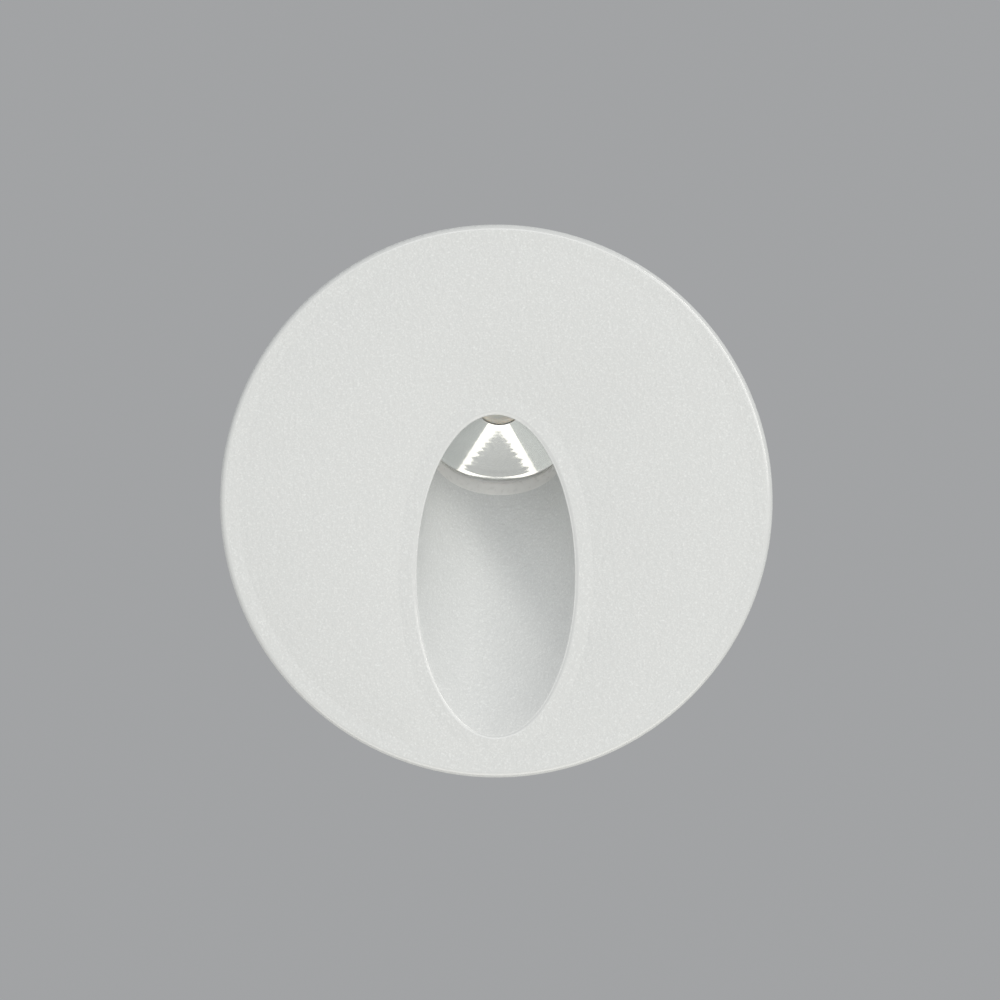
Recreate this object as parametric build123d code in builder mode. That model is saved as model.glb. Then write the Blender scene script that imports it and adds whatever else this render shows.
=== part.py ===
from build123d import *

import os
from math import ceil, cos, pi, radians, sin, sqrt, tan

os.makedirs("parts", exist_ok=True)

# A round recessed wall light, in millimetres.
# The wall's face is the plane Y = 0, +Y goes into the wall and +Z is up.

# Rear housing
housing_radius = 29.0
housing_wall = 1.6
housing_depth = 38.0
housing_back = 2.0
housing_edge_round = 1.5
flange_width = 4.6
flange_thickness = 2.4
housing_seal_width = 1.3
housing_seal_height = 1.5
housing_seal_inset = 0.75
housing_screw_count = 4
housing_screw_reach = 3.0
housing_screw_outset = 2.4

# Face plate and the gasket behind it
plate_overhang = 6.4
plate_thickness = 4.0
plate_edge_round = 0.8
gasket_thickness = 1.0
gasket_width = 3.6
gasket_gap = 1.4

# Scoop: a tapered slanting bore that leaves the plate as an upright oval
scoop_headroom = 15.2
scoop_margin = 6.1
scoop_angle = 30.2
scoop_draft = 5.0
scoop_wall = 2.2
scoop_edge_round = 0.12

# Lamp tube at the scoop's upper end, tilted from the wall by its own angle
lamp_tilt = 40.0
seat_drop = 11.35
tube_wall = 1.8
boss_radius = 3.0
boss_length = 8.0
boss_offset = 1.7
boss_thread_depth = 2.0

# Lens, seal, reflector and LED, in the order they stack in the lamp tube
lens_lip = 0.4
lens_thickness = 2.0
lens_chamfer = 0.25
lens_seal_width = 0.5
lens_seal_lip = 1.8
reflector_rim = 0.3
reflector_cone_height = 4.5
reflector_hollow = 0.13
reflector_mouth_round = 0.5
reflector_neck_radius = 2.8
reflector_neck_height = 0.25
led_pocket_radius = 4.5
led_pocket_height = 0.8
led_width = 6.0
led_height = 0.6
led_dome_radius = 2.6
led_dome_height = 0.6
led_board_thickness = 1.2
led_screw_spacing = 14.4
thermal_pad_thickness = 0.4

# Heat sink on the lamp tube
sink_base = 3.0
sink_fin_height = 4.0
sink_fin_thickness = 1.2
sink_fin_pitch = 3.4
sink_fin_count = 7

# Driver board and what stands on it
board_thickness = 1.6
board_post_height = 6.4
board_post_radius = 2.6
board_cable_hole = 5.0
upper_post_inset = 7.0
upper_post_height = 10.0
lower_post_inset = 4.5
lower_post_spread = 9.5
capacitor_radius = 4.0
capacitor_height = 11.0
capacitor_edge_round = 0.5
capacitor_inset = 11.0
inductor_width = 8.0
inductor_height = 5.0
inductor_corner = 1.3
inductor_inset = 11.0
rectifier_width = 6.5
rectifier_height = 2.6
chip_width = 5.0
chip_length = 4.0
chip_height = 1.6
fuse_radius = 1.6
fuse_length = 9.0
fuse_inset = 4.5
tall_parts_height = -11.0
flat_parts_spread = 8.5
flat_parts_height = 3.0

# Two-pole terminal block
terminal_width = 11.0
terminal_length = 8.0
terminal_height = 9.5
terminal_pitch = 5.5
terminal_inset = 8.0
terminal_well_radius = 1.9
terminal_well_depth = 3.2
clamp_width = 3.5
clamp_height = 3.8
clamp_length = 6.0
clamp_wire_radius = 1.2

# Cable gland in the middle of the housing's back
gland_height = -5.0
gland_thread_radius = 6.0
gland_bore_radius = 3.6
gland_hex_width = 15.0
gland_hex_length = 4.5
gland_thread_length = 6.0
gland_inner_length = 6.0
gland_washer_thickness = 1.2
gland_washer_width = 2.0
locknut_width = 16.0
locknut_thickness = 3.2
gland_seal_radius = 4.85
gland_seal_bore = 3.25
gland_pocket_depth = 1.7
gland_nut_reach = 8.0
gland_nut_nose = 2.5
gland_nut_opening = 3.9
gland_nut_round = 2.25

# Wires from the LED board to the driver board
wire_radius = 0.55
wire_spacing = 2.6
wire_start = 7.4
wire_run = 16.6
wire_bend = 5.0
wire_slot_width = 5.0
wire_slot_height = 1.6

# Wall clips: a sprung lever on a pin at each side of the housing
clip_flat_inset = 0.9
clip_flat_start = 9.0
clip_pivot_offset = 2.4
clip_pivot_depth = 20.0
clip_lean = 53.0
pin_radius = 1.0
pin_head_radius = 1.6
pin_head_height = 0.8
lug_radius = 2.2
lug_width = 2.4
lug_foot = 8.0
lever_length = 13.0
lever_thickness = 0.7
lever_ear_thickness = 0.8
lever_ear_radius = 2.0
lever_ear_length = 8.5
pad_cover = 3.5
pad_wall = 0.8
pad_tip = 1.2
pad_edge_round = 0.4
stop_near = 1.0
stop_far = 6.3
stop_depth = 2.6
stop_width = 4.0
spring_wire_radius = 0.4
spring_coil_radius = 1.7
spring_turns = 3
spring_pitch = 1.35
spring_fixed_leg = 6.0
spring_free_leg = 7.5

# Screws: a medium and a small pan head
screw_radius = 1.25
screw_head_radius = 2.2
screw_head_height = 1.7
small_screw_radius = 0.95
small_screw_head_radius = 1.8
small_screw_head_height = 1.3
small_screw_length = 5.0
terminal_screw_length = 1.3
screw_slot_width = 0.6
screw_slot_length_share = 0.75
screw_slot_depth_share = 0.5
screw_head_bevel_share = 0.25

# Clearances
thread_clearance = 0.05
hole_clearance = 0.15
seal_clearance = 0.05
lamp_clearance = 0.1
socket_clearance = 0.2
board_clearance = 2.4
sink_clearance = 0.5
pin_clearance = 0.04
lever_pin_clearance = 0.08
lever_side_clearance = 0.25
coil_side_clearance = 0.3
spring_leg_clearance = 0.1
stop_clearance = 0.3
clamp_clearance = 0.1

# Sizes that follow from the driving ones
housing_inner_radius = housing_radius - housing_wall
housing_floor = housing_depth - housing_back
flange_radius = housing_radius + flange_width
plate_radius = flange_radius + plate_overhang
plate_back = -gasket_thickness
plate_front = plate_back - plate_thickness
gasket_inner_radius = flange_radius + gasket_gap
housing_seal_radius = housing_inner_radius + housing_seal_inset
screw_circle = housing_radius + housing_screw_outset
flange_back = plate_back + flange_thickness
clip_flat = housing_radius - clip_flat_inset
board_back = housing_floor - board_post_height
board_front = board_back - board_thickness
board_radius = housing_inner_radius - board_clearance

# Spots on the driver board, set in from its edge
upper_post_spot = (board_radius - upper_post_inset, upper_post_height)
lower_post_spot = (lower_post_spread, lower_post_inset - board_radius)
capacitor_spot = (capacitor_inset - board_radius, tall_parts_height)
inductor_spot = (board_radius - inductor_inset, tall_parts_height)
rectifier_spot = (flat_parts_spread, flat_parts_height)
chip_spot = (-flat_parts_spread, flat_parts_height)
fuse_spot = (fuse_inset - board_radius, 0)
terminal_height_on_board = terminal_inset - board_radius

# The scoop's section: its floor and roof slope at the axis angle less and plus the draft
scoop_mouth_top = housing_inner_radius - scoop_headroom
scoop_mouth_bottom = scoop_margin - plate_radius
seat_low_height = scoop_mouth_top - seat_drop
floor_slope = tan(radians(scoop_angle - scoop_draft))
roof_slope = tan(radians(scoop_angle + scoop_draft))
mouth_height = scoop_mouth_top - scoop_mouth_bottom
apex_rise = mouth_height * floor_slope / (roof_slope - floor_slope)
scoop_apex = Vector(0, plate_front + apex_rise * roof_slope, scoop_mouth_top + apex_rise)
scoop_out = Vector(0, -sin(radians(scoop_angle)), -cos(radians(scoop_angle)))
scoop_down = Vector(0, cos(radians(scoop_angle)), -sin(radians(scoop_angle)))

# The lens seat crosses the scoop from a point on its floor to a point on its roof
lamp_axis = Vector(0, sin(radians(lamp_tilt)), cos(radians(lamp_tilt)))
seat_up = Vector(0, -cos(radians(lamp_tilt)), sin(radians(lamp_tilt)))
seat_low_depth = (seat_low_height - scoop_mouth_bottom) * floor_slope
seat_low_point = Vector(0, plate_front + seat_low_depth, seat_low_height)
seat_rise = scoop_mouth_top - seat_low_height
seat_span = (seat_low_depth + roof_slope * seat_rise) / (
    cos(radians(lamp_tilt)) + roof_slope * sin(radians(lamp_tilt))
)
seat_center = seat_low_point + seat_up * (seat_span / 2)
lens_radius = seat_span / 2 + lens_lip
lens_seal_inner = lens_radius + seal_clearance
tube_bore = lens_seal_inner + lens_seal_width + seal_clearance
reflector_radius = tube_bore - lamp_clearance
tube_radius = tube_bore + tube_wall
reflector_mouth_radius = lens_radius - reflector_rim
boss_spots = [(tube_radius + boss_offset, 0), (-tube_radius - boss_offset, 0)]
led_screw_spots = [(led_screw_spacing / 2, 0), (-led_screw_spacing / 2, 0)]

# Heights along the lamp axis, from the lens seat inwards
lens_back = lens_seal_lip + lens_thickness
reflector_neck = lens_back + reflector_cone_height
led_pocket = reflector_neck + reflector_neck_height
reflector_back = led_pocket + led_pocket_height
wire_slot_start = wire_start - 2 * wire_radius
led_board_back = reflector_back + led_board_thickness
tube_end = led_board_back + thermal_pad_thickness
sink_back = tube_end + sink_base

# Clip levels across the pin, from the middle out
coil_turn = 360 * spring_turns + 90 - clip_lean
coil_half_length = spring_pitch * coil_turn / 720
ear_inside = coil_half_length + spring_wire_radius + coil_side_clearance
ear_outside = ear_inside + lever_ear_thickness
lug_inside = ear_outside + lever_side_clearance
lug_outside = lug_inside + lug_width
lever_inner_face = spring_coil_radius + spring_wire_radius + spring_leg_clearance
lever_outer_face = lever_inner_face + lever_thickness
clip_pivot = clip_flat + clip_pivot_offset


def rear_plane(depth):
    """A sketch plane parallel to the wall, facing into it: +Z is up and +X is to the left."""
    return Plane(origin=(0, depth, 0), x_dir=(-1, 0, 0), z_dir=(0, 1, 0))


def front_plane(depth):
    """A sketch plane parallel to the wall, facing the room: +Z is up and +X is to the right."""
    return Plane(origin=(0, depth, 0), x_dir=(1, 0, 0), z_dir=(0, -1, 0))


def lamp_plane(height):
    """A sketch plane square to the lamp axis: local y runs down and into the wall."""
    return Plane(origin=seat_center + lamp_axis * height, x_dir=(1, 0, 0), z_dir=lamp_axis)


def clip_plane(side):
    """A sketch plane across a clip's pin: local x runs along its lever, local y to its gripping face."""
    lean = radians(clip_lean)
    return Plane(
        origin=(side * clip_pivot, clip_pivot_depth, 0),
        x_dir=(side * cos(lean), -sin(lean), 0),
        z_dir=(0, 0, -side),
    )


def make_screws(seat, spots, thread_radius, length, head_radius, head_height):
    """Slotted pan-head screws whose heads stand on the seat plane and whose threads go down from it."""
    with BuildPart() as screws:
        with BuildSketch(seat):
            with Locations(*spots):
                Circle(head_radius)
        extrude(amount=head_height)
        with BuildSketch(seat):
            with Locations(*spots):
                Circle(thread_radius)
        extrude(amount=-length)
        head_tops = screws.faces().filter_by(GeomType.PLANE).group_by(Axis(seat.origin, seat.z_dir))[-1]
        chamfer(head_tops.edges(), head_height * screw_head_bevel_share)
        with BuildSketch(seat.offset(head_height)):
            with Locations(*spots):
                Rectangle(2 * head_radius * screw_slot_length_share, screw_slot_width)
        extrude(amount=-head_height * screw_slot_depth_share, mode=Mode.SUBTRACT)
    return screws.part


def scoop_profile(extra_radius):
    """Half section of the scoop's cone, enlarged, from behind the lens seat to past the mouth."""
    near = (seat_center - scoop_apex).dot(scoop_out) - 2 * lens_radius
    far = near + mouth_height + 2 * lens_radius
    widening = tan(radians(scoop_draft))
    along = [near, near, far, far]
    across = [0, near * widening + extra_radius, far * widening + extra_radius, 0]
    corners = [scoop_apex + scoop_out * a + scoop_down * b for a, b in zip(along, across)]
    return [(corner.Y, corner.Z) for corner in corners]


def least_gap(path, tube_radius_here):
    """Least clear gap between stretches of a tube that are more than half a turn of its coil apart."""
    count = 600
    points = [path @ (i / count) for i in range(count + 1)]
    step = path.length / count
    skip = ceil(pi * spring_coil_radius / step)
    nearest = min(
        (points[i] - points[j]).length
        for i in range(count + 1)
        for j in range(i + skip, count + 1)
    )
    return nearest - 2 * tube_radius_here


# Face plate, first the wall that encloses the scoop and the lamp, inside the housing
with BuildPart() as lamp_socket:
    with BuildSketch(Plane.YZ):
        with BuildLine():
            Polyline(*scoop_profile(scoop_wall), close=True)
        make_face()
    revolve(axis=Axis(scoop_apex, scoop_out))
    split(bisect_by=lamp_plane(lens_back), keep=Keep.BOTTOM)
    with BuildSketch(lamp_plane(-lens_back)):
        Circle(tube_radius)
    extrude(amount=lens_back + tube_end)
    with BuildSketch(lamp_plane(tube_end)):
        with Locations(*boss_spots):
            Circle(boss_radius)
    extrude(amount=-boss_length)
    with BuildSketch(rear_plane(plate_back - plate_thickness / 2)):
        Circle(housing_inner_radius - socket_clearance)
    extrude(amount=housing_depth, mode=Mode.INTERSECT)

# The scoop's hollow, down to the lens seat
with BuildPart() as scoop_hollow:
    with BuildSketch(Plane.YZ):
        with BuildLine():
            Polyline(*scoop_profile(0), close=True)
        make_face()
    revolve(axis=Axis(scoop_apex, scoop_out))
    split(bisect_by=lamp_plane(0), keep=Keep.BOTTOM)

screw_spots = [
    (screw_circle * cos(radians(turn)), screw_circle * sin(radians(turn)))
    for turn in [360 / housing_screw_count * (i + 0.5) for i in range(housing_screw_count)]
]

with BuildPart() as face_plate:
    with BuildSketch(rear_plane(plate_front)):
        Circle(plate_radius)
    extrude(amount=plate_thickness)
    fillet(face_plate.edges().sort_by(Axis.Y)[0], plate_edge_round)
    add(lamp_socket.part)
    add(scoop_hollow.part, mode=Mode.SUBTRACT)
    mouth_face = face_plate.faces().filter_by(Axis.Y).sort_by(Axis.Y)[0]
    fillet(mouth_face.inner_wires().edges(), scoop_edge_round)
    with BuildSketch(lamp_plane(0)):
        Circle(tube_bore)
    extrude(amount=tube_end + sink_base, mode=Mode.SUBTRACT)
    with BuildSketch(lamp_plane(tube_end)):
        with Locations((0, tube_bore + tube_wall / 2)):
            Rectangle(wire_slot_width, 2 * tube_wall)
        with Locations(*boss_spots):
            Circle(screw_radius + thread_clearance)
    extrude(amount=-(tube_end - reflector_back + wire_slot_height), mode=Mode.SUBTRACT)
    with BuildSketch(rear_plane(plate_back)):
        with Locations(*screw_spots):
            Circle(screw_radius + thread_clearance)
    extrude(amount=-housing_screw_reach, mode=Mode.SUBTRACT)
face_plate.part.label = "face_plate"
export_step(face_plate.part, "parts/face_plate.step")

# Wall gasket: a flat foam ring stuck to the plate's back, with the wall's face on its other side
with BuildPart() as wall_gasket:
    with BuildSketch(rear_plane(plate_back)):
        Circle(gasket_inner_radius + gasket_width)
        Circle(gasket_inner_radius, mode=Mode.SUBTRACT)
    extrude(amount=gasket_thickness)
wall_gasket.part.label = "wall_gasket"
export_step(wall_gasket.part, "parts/wall_gasket.step")

# Lens: a flat glass disc that rests on the seal's lip
with BuildPart() as lens:
    with BuildSketch(lamp_plane(lens_seal_lip)):
        Circle(lens_radius)
    extrude(amount=lens_thickness)
    chamfer(lens.edges(), lens_chamfer)
lens.part.label = "lens"
export_step(lens.part, "parts/lens.step")

# Lens seal: a moulded silicone ring with a lip in front of the lens and a sleeve round it
with BuildPart() as lens_seal:
    with BuildSketch(lamp_plane(0)):
        Circle(lens_seal_inner + lens_seal_width)
        Circle(seat_span / 2, mode=Mode.SUBTRACT)
    extrude(amount=lens_seal_lip)
    with BuildSketch(lamp_plane(lens_seal_lip)):
        Circle(lens_seal_inner + lens_seal_width)
        Circle(lens_seal_inner, mode=Mode.SUBTRACT)
    extrude(amount=lens_thickness)
lens_seal.part.label = "lens_seal"
export_step(lens_seal.part, "parts/lens_seal.step")

# Reflector: turned from bar, with a slightly hollow cone that ends in a short neck round the LED
# A pocket in its back clears the LED, and others clear the wires and the screw heads
with BuildPart() as reflector:
    with BuildSketch(Plane(origin=seat_center, x_dir=seat_up, z_dir=(-1, 0, 0))):
        with BuildLine():
            mouth_corner = (reflector_mouth_radius, lens_back)
            neck_corner = (reflector_neck_radius, reflector_neck)
            SagittaArc(mouth_corner, neck_corner, -reflector_hollow)
            Polyline(
                neck_corner,
                (reflector_neck_radius, led_pocket),
                (led_pocket_radius, led_pocket),
                (led_pocket_radius, reflector_back),
                (reflector_radius, reflector_back),
                (reflector_radius, lens_back),
                mouth_corner,
            )
        make_face()
    revolve(axis=Axis(seat_center, lamp_axis))
    rings = reflector.edges().filter_by(GeomType.CIRCLE)
    mouth_ring = rings.sort_by(lambda ring: abs(ring.radius - reflector_mouth_radius))[0]
    fillet(mouth_ring, reflector_mouth_round)
    with BuildSketch(lamp_plane(reflector_back)):
        with Locations((0, wire_slot_start)):
            Rectangle(wire_slot_width, reflector_radius, align=(Align.CENTER, Align.MIN))
        with Locations(*led_screw_spots):
            Circle(small_screw_head_radius + hole_clearance)
    extrude(amount=-wire_slot_height, mode=Mode.SUBTRACT)
reflector.part.label = "reflector"
export_step(reflector.part, "parts/reflector.step")

# LED: a square ceramic base with a shallow silicone dome
with BuildPart() as led_base:
    with BuildSketch(lamp_plane(reflector_back)):
        Rectangle(led_width, led_width)
    extrude(amount=-led_height)
led_base.part.label = "led_base"
export_step(led_base.part, "parts/led_base.step")

with BuildPart() as led_dome:
    with BuildSketch(Plane.YZ):
        with BuildLine():
            dome_center = lamp_plane(reflector_back - led_height).origin
            dome_top = dome_center - lamp_axis * led_dome_height
            dome_side = dome_center - seat_up * led_dome_radius
            dome_curve = (led_dome_radius**2 + led_dome_height**2) / (2 * led_dome_height)
            RadiusArc((dome_side.Y, dome_side.Z), (dome_top.Y, dome_top.Z), dome_curve)
            Polyline((dome_top.Y, dome_top.Z), (dome_center.Y, dome_center.Z), (dome_side.Y, dome_side.Z))
        make_face()
    revolve(axis=Axis(dome_center, lamp_axis))
led_dome.part.label = "led_dome"
export_step(led_dome.part, "parts/led_dome.step")

# LED board: a round aluminium-core board, with screws through it and the thermal pad into the heat sink
with BuildPart() as led_board:
    with BuildSketch(lamp_plane(reflector_back)):
        Circle(lens_radius)
        with Locations(*led_screw_spots):
            Circle(small_screw_radius + hole_clearance, mode=Mode.SUBTRACT)
    extrude(amount=led_board_thickness)
led_board.part.label = "led_board"
export_step(led_board.part, "parts/led_board.step")

with BuildPart() as thermal_pad:
    with BuildSketch(lamp_plane(led_board_back)):
        Circle(lens_radius)
        with Locations(*led_screw_spots):
            Circle(small_screw_radius + hole_clearance, mode=Mode.SUBTRACT)
    extrude(amount=thermal_pad_thickness)
thermal_pad.part.label = "thermal_pad"
export_step(thermal_pad.part, "parts/thermal_pad.step")

led_board_screws = make_screws(
    Plane(origin=lamp_plane(reflector_back).origin, x_dir=(1, 0, 0), z_dir=-lamp_axis),
    led_screw_spots,
    small_screw_radius,
    small_screw_length,
    small_screw_head_radius,
    small_screw_head_height,
)
led_board_screws.label = "led_board_screws"
export_step(led_board_screws, "parts/led_board_screws.step")

# Heat sink: a finned cap on the tube's end, with its outside turned to clear the housing
with BuildPart() as heat_sink:
    with BuildSketch(lamp_plane(tube_end)):
        Circle(tube_radius)
        with Locations(*boss_spots):
            Circle(boss_radius)
        with Locations(*boss_spots):
            Circle(screw_radius + hole_clearance, mode=Mode.SUBTRACT)
    extrude(amount=sink_base)
    with BuildSketch(lamp_plane(sink_back)):
        with GridLocations(sink_fin_pitch, 1, sink_fin_count, 1):
            Rectangle(sink_fin_thickness, 2 * tube_radius)
        Circle(tube_bore, mode=Mode.INTERSECT)
    extrude(amount=sink_fin_height)
    with BuildSketch(lamp_plane(tube_end)):
        with Locations(*led_screw_spots):
            Circle(small_screw_radius + thread_clearance)
    extrude(amount=small_screw_length, mode=Mode.SUBTRACT)
    with BuildSketch(rear_plane(plate_back)):
        Circle(housing_inner_radius - sink_clearance)
    extrude(amount=housing_depth, mode=Mode.INTERSECT)
heat_sink.part.label = "heat_sink"
export_step(heat_sink.part, "parts/heat_sink.step")

heat_sink_screws = make_screws(
    lamp_plane(sink_back),
    boss_spots,
    screw_radius,
    sink_base + boss_thread_depth,
    screw_head_radius,
    screw_head_height,
)
heat_sink_screws.label = "heat_sink_screws"
export_step(heat_sink_screws, "parts/heat_sink_screws.step")

# Rear housing: a moulded can with a screw flange, a flat at each side, clip lugs and board posts
post_spots = [(side * spot[0], spot[1]) for spot in (upper_post_spot, lower_post_spot) for side in (1, -1)]
with BuildPart() as rear_housing:
    with BuildSketch(rear_plane(plate_back)):
        Circle(housing_radius)
    extrude(amount=housing_depth - plate_back)
    with BuildSketch(rear_plane(clip_flat_start)):
        Rectangle(3 * housing_radius, 3 * housing_radius)
        Rectangle(2 * clip_flat, 3 * housing_radius, mode=Mode.SUBTRACT)
    extrude(amount=housing_depth, mode=Mode.SUBTRACT)
    fillet(rear_housing.faces().sort_by(Axis.Y)[-1].edges(), housing_edge_round)
    with BuildSketch(rear_plane(plate_back)):
        Circle(flange_radius)
        with Locations(*screw_spots):
            Circle(screw_radius + hole_clearance, mode=Mode.SUBTRACT)
    extrude(amount=flange_thickness)
    with BuildSketch(rear_plane(plate_back)):
        Circle(housing_inner_radius)
        Rectangle(2 * (clip_flat - housing_wall), 3 * housing_radius, mode=Mode.INTERSECT)
    extrude(amount=housing_floor - plate_back, mode=Mode.SUBTRACT)
    with BuildSketch(rear_plane(plate_back)):
        Circle(housing_seal_radius + housing_seal_width + seal_clearance)
        Circle(housing_seal_radius - seal_clearance, mode=Mode.SUBTRACT)
    extrude(amount=housing_seal_height + seal_clearance, mode=Mode.SUBTRACT)
    with BuildSketch(rear_plane(board_back)):
        with Locations(*post_spots):
            Circle(board_post_radius)
    extrude(amount=board_post_height)
    with BuildSketch(rear_plane(board_back)):
        with Locations(*post_spots):
            Circle(small_screw_radius + thread_clearance)
    extrude(amount=small_screw_length, mode=Mode.SUBTRACT)
    with BuildSketch(rear_plane(housing_floor)):
        with Locations((0, gland_height)):
            Circle(gland_thread_radius + hole_clearance)
    extrude(amount=housing_back, mode=Mode.SUBTRACT)
    for side in (1, -1):
        for level in (lug_inside, -lug_outside):
            with BuildSketch(Plane.XY.offset(level)):
                with Locations((side * clip_pivot, clip_pivot_depth)):
                    Circle(lug_radius)
                with Locations((side * (clip_flat - housing_wall / 4), clip_pivot_depth)):
                    Rectangle(housing_wall / 2, lug_foot)
                make_hull()
                with Locations((side * clip_pivot, clip_pivot_depth)):
                    Circle(pin_radius + pin_clearance, mode=Mode.SUBTRACT)
            extrude(amount=lug_width)
        stop_face = lever_outer_face + stop_clearance
        stop_low = clip_plane(side).from_local_coords((stop_near, stop_face, 0))
        stop_high = clip_plane(side).from_local_coords((stop_far, stop_face, 0))
        stop_foot = side * (clip_flat - housing_wall / 2)
        with BuildSketch():
            with BuildLine():
                Polyline(
                    (stop_foot, stop_low.Y),
                    (stop_low.X, stop_low.Y),
                    (stop_high.X, stop_high.Y),
                    (stop_high.X, stop_high.Y - stop_depth),
                    (stop_foot, stop_high.Y - stop_depth),
                    close=True,
                )
            make_face()
        extrude(amount=stop_width / 2, both=True)
rear_housing.part.label = "rear_housing"
export_step(rear_housing.part, "parts/rear_housing.step")

# Housing seal: a ring in the flange's groove, pressed on the plate's back
with BuildPart() as housing_seal:
    with BuildSketch(rear_plane(plate_back)):
        Circle(housing_seal_radius + housing_seal_width)
        Circle(housing_seal_radius, mode=Mode.SUBTRACT)
    extrude(amount=housing_seal_height)
housing_seal.part.label = "housing_seal"
export_step(housing_seal.part, "parts/housing_seal.step")

housing_screws = make_screws(
    rear_plane(flange_back),
    screw_spots,
    screw_radius,
    flange_thickness + housing_screw_reach - hole_clearance,
    screw_head_radius,
    screw_head_height,
)
housing_screws.label = "housing_screws"
export_step(housing_screws, "parts/housing_screws.step")

# Driver board on the housing's posts, with a hole for the cable from the gland
with BuildPart() as driver_board:
    with BuildSketch(rear_plane(board_front)):
        Circle(board_radius)
        with Locations((0, gland_height)):
            Circle(board_cable_hole, mode=Mode.SUBTRACT)
        with Locations(*post_spots):
            Circle(small_screw_radius + hole_clearance, mode=Mode.SUBTRACT)
    extrude(amount=board_thickness)
driver_board.part.label = "driver_board"
export_step(driver_board.part, "parts/driver_board.step")

driver_board_screws = make_screws(
    front_plane(board_front),
    post_spots,
    small_screw_radius,
    small_screw_length,
    small_screw_head_radius,
    small_screw_head_height,
)
driver_board_screws.label = "driver_board_screws"
export_step(driver_board_screws, "parts/driver_board_screws.step")

# Driver parts that stand on the board's front
with BuildPart() as driver_capacitor:
    with BuildSketch(front_plane(board_front)):
        with Locations(capacitor_spot):
            Circle(capacitor_radius)
    extrude(amount=capacitor_height)
    fillet(driver_capacitor.edges().sort_by(Axis.Y)[0], capacitor_edge_round)
driver_capacitor.part.label = "driver_capacitor"
export_step(driver_capacitor.part, "parts/driver_capacitor.step")

with BuildPart() as driver_inductor:
    with BuildSketch(front_plane(board_front)):
        with Locations(inductor_spot):
            Rectangle(inductor_width, inductor_width)
    extrude(amount=inductor_height)
    chamfer(driver_inductor.edges().filter_by(Axis.Y), inductor_corner)
driver_inductor.part.label = "driver_inductor"
export_step(driver_inductor.part, "parts/driver_inductor.step")

with BuildPart() as driver_rectifier:
    with BuildSketch(front_plane(board_front)):
        with Locations(rectifier_spot):
            Rectangle(rectifier_width, rectifier_width)
    extrude(amount=rectifier_height)
driver_rectifier.part.label = "driver_rectifier"
export_step(driver_rectifier.part, "parts/driver_rectifier.step")

with BuildPart() as driver_chip:
    with BuildSketch(front_plane(board_front)):
        with Locations(chip_spot):
            Rectangle(chip_width, chip_length)
    extrude(amount=chip_height)
driver_chip.part.label = "driver_chip"
export_step(driver_chip.part, "parts/driver_chip.step")

with BuildPart() as driver_fuse:
    fuse_end = Plane(origin=(fuse_spot[0], board_front - fuse_radius, fuse_spot[1] - fuse_length / 2))
    with BuildSketch(fuse_end):
        Circle(fuse_radius)
    extrude(amount=fuse_length)
driver_fuse.part.label = "driver_fuse"
export_step(driver_fuse.part, "parts/driver_fuse.step")

# Terminal block: screw wells open to the front, and a clamp in each channel open to the top
terminal_front = board_front - terminal_height
clamp_front = terminal_front + terminal_well_depth
terminal_top = terminal_height_on_board + terminal_length / 2
clamp_middle = terminal_top - clamp_length / 2
pole_spots = [(terminal_pitch / 2, 0), (-terminal_pitch / 2, 0)]
with BuildPart() as terminal_block:
    with BuildSketch(front_plane(board_front)):
        with Locations((0, terminal_height_on_board)):
            Rectangle(terminal_width, terminal_length)
    extrude(amount=terminal_height)
    with BuildSketch(front_plane(terminal_front)):
        with Locations((0, clamp_middle)):
            with Locations(*pole_spots):
                Circle(terminal_well_radius)
    extrude(amount=-terminal_well_depth, mode=Mode.SUBTRACT)
    with BuildSketch(Plane.XY.offset(terminal_top)):
        with Locations((0, clamp_front + clamp_height / 2)):
            with Locations(*pole_spots):
                Rectangle(clamp_width + 2 * clamp_clearance, clamp_height + 2 * clamp_clearance)
    extrude(amount=-clamp_length, mode=Mode.SUBTRACT)
terminal_block.part.label = "terminal_block"
export_step(terminal_block.part, "parts/terminal_block.step")

with BuildPart() as terminal_clamps:
    with BuildSketch(Plane.XY.offset(terminal_top)):
        with Locations((0, clamp_front + clamp_height / 2)):
            with Locations(*pole_spots):
                Rectangle(clamp_width, clamp_height)
            with Locations(*pole_spots):
                Circle(clamp_wire_radius, mode=Mode.SUBTRACT)
    extrude(amount=-clamp_length)
    with BuildSketch(front_plane(clamp_front)):
        with Locations((0, clamp_middle)):
            with Locations(*pole_spots):
                Circle(small_screw_radius + thread_clearance)
    extrude(amount=-clamp_height / 2, mode=Mode.SUBTRACT)
terminal_clamps.part.label = "terminal_clamps"
export_step(terminal_clamps.part, "parts/terminal_clamps.step")

terminal_screws = make_screws(
    front_plane(clamp_front),
    [(x, clamp_middle) for x, y in pole_spots],
    small_screw_radius,
    terminal_screw_length,
    terminal_well_radius - 2 * hole_clearance,
    small_screw_head_height,
)
terminal_screws.label = "terminal_screws"
export_step(terminal_screws, "parts/terminal_screws.step")

# Cable gland through the housing's back: washer, body, locknut, rubber seal and dome nut
gland_spot = (0, gland_height)
gland_base = housing_depth + gland_washer_thickness
gland_shoulder = gland_base + gland_hex_length
gland_end = gland_shoulder + gland_thread_length
seal_base = gland_shoulder - gland_pocket_depth
nut_start = gland_shoulder + hole_clearance
nut_shelf = nut_start + gland_nut_reach
with BuildPart() as gland_washer:
    with BuildSketch(rear_plane(housing_depth)):
        with Locations(gland_spot):
            Circle(gland_thread_radius + hole_clearance + gland_washer_width)
            Circle(gland_thread_radius + hole_clearance, mode=Mode.SUBTRACT)
    extrude(amount=gland_washer_thickness)
gland_washer.part.label = "gland_washer"
export_step(gland_washer.part, "parts/gland_washer.step")

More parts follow.
